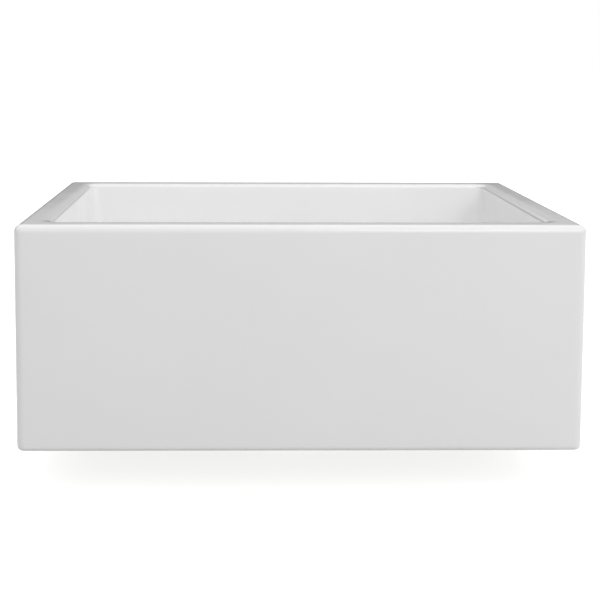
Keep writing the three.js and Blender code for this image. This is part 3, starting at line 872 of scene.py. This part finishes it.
def cupFloor(bm, edgeRing, floorLine, bore):  # fills the wall's lower edge, round its drilled holes
    use = cup
    floor = bmesh.new()
    edgePlaces = [v.co.copy() for v in bm.verts if abs(hypot(v.co.x, v.co.y) - edgeRing) < meshing["weld"]]
    edgePlaces.sort(key=lambda p: atan2(p.y, p.x))
    rim = [floor.verts.new(place) for place in edgePlaces]
    for a, b in zip(rim, rim[1:] + rim[:1]):
        floor.edges.new((a, b))
    fillEdges = floor.edges[:]
    holes = [(0, 0, bore, use["boreSteps"])]
    for radius, count in use["circles"]:
        for angle in (fullTurn * i / count for i in range(count)):
            holes.append((radius * cos(angle), radius * sin(angle), use["hole"], use["holeSteps"]))
    for x, y, radius, steps in holes:
        outerRim = edgesOf(circle(floor, radius + use["holeRim"], floorLine, steps, x, y))
        innerRim = edgesOf(circle(floor, radius, floorLine, steps, x, y))
        bmesh.ops.bridge_loops(floor, edges=outerRim + innerRim)
        fillEdges += outerRim
    bmesh.ops.triangle_fill(floor, use_beauty=True, use_dissolve=False, edges=fillEdges)
    return floor


def makeCup():
    outer, bore, low, high = measured("basket_cup")
    bm = bmesh.new()
    edgeRing, floorLine = cupWall(bm, outer, low, high)
    joinPart(bm, cupFloor(bm, edgeRing, floorLine, bore))
    finishPiece(
        "pierced_cup", bm, polished, "basket_cup", "basket_cup", wall=cup["sheet"], levels=1,
    )


nut = {"flats": 0.010, "chamfer": 0.0007, "steps": 48}


def makeHexagonNut():
    use = nut
    outer, bore, low, high = measured("basket_nut")
    chamfer = use["chamfer"]
    slight = chamfer / 2
    bm = bmesh.new()
    wire(bm, [
        (bore + slight, low), (outer - chamfer, low), (outer, low + slight), (outer, high - slight),
        (outer - chamfer, high), (bore + slight, high), (bore, high - slight), (bore, low + slight),
    ], closed=True)
    turnFull(bm, use["steps"])
    for i in range(6):
        side = Vector((cos(pi / 6 + i * pi / 3), sin(pi / 6 + i * pi / 3), 0))
        bmesh.ops.bisect_plane(
            bm, geom=everything(bm), dist=meshing["onPlane"], clear_outer=True,
            plane_co=side * use["flats"] / 2, plane_no=side,
        )
        bmesh.ops.holes_fill(bm, edges=[e for e in bm.edges if e.is_boundary], sides=0)
    finishPiece("hexagon_nut", bm, polished, "stopper_post", "basket_nut", sharp=20)


knob = {
    "neck": 0.0055, "neckHeight": 0.0034, "bore": 0.0034, "boreDepth": 0.007, "edge": 0.0005,
    "flare": 0.0003, "flareHeight": 0.30, "crown": 0.3, "crownRise": 0.00005, "steps": 48,
    "dome": (  # shares of the radius and of the height
        (0.86, 0.40), (1, 0.52), (1.015, 0.64), (0.93, 0.80), (0.66, 0.94),
    ),
}


def makeKnob():
    use = knob
    outer, _, low, high = measured("basket_knob")
    bore, edge, neck = use["bore"], use["edge"], use["neck"]
    deep, tall = low + use["boreDepth"], high - low
    bm = bmesh.new()
    wire(bm, [
        (0, deep), (bore - edge, deep), (bore, deep), (bore, low + edge), (bore + edge / 2, low),
        (neck - edge, low), (neck, low), (neck, low + edge), (neck, low + use["neckHeight"]),
        (neck + use["flare"], low + tall * use["flareHeight"]),
        *((outer * out, low + tall * up) for out, up in use["dome"]),
        (outer * use["crown"], high + use["crownRise"]), (0, high),
    ])
    turnFull(bm, use["steps"])
    finishPiece("mushroom_knob", bm, chrome, "stopper_post", "basket_knob", levels=1)


makePost()
makeClip()
makeBell()
makeCup()
makeHexagonNut()
makeKnob()
print("basket ready")


# Floor, world, lamps and camera

studio = {
    "floorBelow": 0.002, "floorSize": 30.0, "floorColour": (0.50, 0.50, 0.50), "floorGlow": (0.82, 1.0),
    "glowFrom": 0.9, "glowTo": 2.6, "floorFinish": {"Roughness": 0.9, "Specular IOR Level": 0.0},
    "ambient": 0.44, "behindFull": 0.3, "bounces": 8,
    "skyline": (  # height, level
        (0.108, 0.0), (0.125, 0.27), (0.138, 0.32), (0.158, 0.16), (0.19, 0.06), (0.26, 0.34),
        (0.58, 0.34), (0.65, 1.0),
    ),
    "lamps": {  # place, aim, size in metres, watts, and whether it shows in reflections
        "key": ((1.2, -2.2, 1.9), (0, -0.1, 0.1), (2.2, 1.6), 25.2, True),
        "front": ((0, -3.2, 1.0), (0, 0, 0.1), (3.0, 1.6), 12.0, True),
        "top": ((0, 0, 2.5), (0, 0, 0), (2.4, 2.0), 15.8, False),
        "left": ((-1.8, -0.2, 2.0), (0, 0, 0.1), (1.4, 1.6), 6.3, True),
        "right": ((2.6, -0.2, 1.2), (0, 0, 0.1), (1.6, 1.6), 8.3, True),
        "behind": ((0.6, 2.6, 1.7), (0, 0, 0.1), (2.0, 1.2), 36, False),
    },
}


# The floor glows for what looks at it, a little less near the sink, where the lamps make it white.
def makeFloor():
    use = studio
    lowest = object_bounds()[0].z - use["floorBelow"]
    bm = bmesh.new()
    bmesh.ops.create_grid(bm, x_segments=8, y_segments=8, size=use["floorSize"])
    bmesh.ops.translate(bm, vec=(0, 0, lowest), verts=bm.verts[:])
    mesh = bpy.data.meshes.new("floor")
    bm.to_mesh(mesh)
    bm.free()
    material, tree, shader = startMaterial("pale_floor", use["floorFinish"])
    shader.inputs["Base Color"].default_value = (*use["floorColour"], 1)
    shader.inputs["Emission Color"].default_value = (1, 1, 1, 1)
    seen = tree.nodes.new("ShaderNodeLightPath").outputs
    shown = maths(tree, "MAXIMUM", seen["Is Camera Ray"], seen["Is Glossy Ray"])
    shown = maths(tree, "MAXIMUM", shown, seen["Is Transmission Ray"])
    away = tree.nodes.new("ShaderNodeVectorMath")
    away.operation = "LENGTH"
    tree.links.new(objectPlace(tree), away.inputs[0])
    glow = ranged(tree, away.outputs["Value"], *use["floorGlow"], use["glowFrom"], use["glowTo"])
    tree.links.new(maths(tree, "MULTIPLY", shown, glow), shader.inputs["Emission Strength"])
    mesh.materials.append(material)
    floor = bpy.data.objects.new("floor", mesh)
    bpy.context.scene.collection.objects.link(floor)


# The world is white to look at. Reflections see it white too, but for a skyline of darker bands low
# behind the sink, and "ambient" is the share of it that lights matt surfaces.
def makeWorld():
    use = studio
    world = bpy.data.worlds.new("studio")
    bpy.context.scene.world = world
    world.use_nodes = True
    tree = world.node_tree
    background = tree.nodes["Background"]
    background.inputs["Color"].default_value = (1, 1, 1, 1)
    towards = splitPlace(tree, tree.nodes.new("ShaderNodeTexCoord").outputs["Generated"])
    skyline = tree.nodes.new("ShaderNodeValToRGB")
    tree.links.new(towards["Z"], skyline.inputs["Fac"])
    stops = skyline.color_ramp.elements
    stops[0].position, stops[1].position = use["skyline"][0][0], use["skyline"][-1][0]
    for height, _ in use["skyline"][1:-1]:
        stops.new(height)
    for stop, (_, level) in zip(stops, use["skyline"]):
        stop.color = (level, level, level, 1)
    behind = ranged(tree, towards["Y"], 0, 1, 0.0, use["behindFull"])
    card = blended(tree, behind, (1, 1, 1), skyline.outputs["Color"])
    seen = tree.nodes.new("ShaderNodeLightPath").outputs
    mirrored = maths(tree, "MAXIMUM", seen["Is Glossy Ray"], seen["Is Transmission Ray"])
    level = ranged(tree, mirrored, use["ambient"], 1, 0, 1)
    lit = maths(tree, "MULTIPLY", card, level)
    tree.links.new(maths(tree, "MAXIMUM", lit, seen["Is Camera Ray"]), background.inputs["Strength"])


def makeLamp(name, place, aim, size, power, mirrored):
    lamp = bpy.data.lights.new(name, "AREA")
    lamp.shape = "RECTANGLE"
    lamp.size, lamp.size_y = size
    lamp.energy = power
    light = bpy.data.objects.new(name, lamp)
    bpy.context.scene.collection.objects.link(light)
    light.visible_glossy = mirrored
    light.location = place
    light.rotation_euler = (Vector(aim) - Vector(place)).to_track_quat("-Z", "Y").to_euler()


view = {  # place in metres, turns in degrees
    "place": (-0.0643, -1.5783, 0.4268), "down": 5.70, "right": 1.023, "roll": -0.21,
    "lens": 77.78, "sensor": 36, "shift": (0.06, -0.20),
}


def makeCamera():
    data = bpy.data.cameras.new("camera")
    data.lens = view["lens"]
    data.sensor_width = view["sensor"]
    data.shift_x, data.shift_y = view["shift"]
    camera = bpy.data.objects.new("camera", data)
    bpy.context.scene.collection.objects.link(camera)
    camera.location = view["place"]
    camera.rotation_euler = (radians(90 - view["down"]), radians(view["roll"]), radians(-view["right"]))
    bpy.context.scene.camera = camera


makeFloor()
makeWorld()
for lampName, lampSettings in studio["lamps"].items():
    makeLamp(lampName, *lampSettings)
makeCamera()
bpy.context.scene.cycles.diffuse_bounces = studio["bounces"]
bpy.context.scene.view_settings.view_transform = "Standard"
print("studio ready")
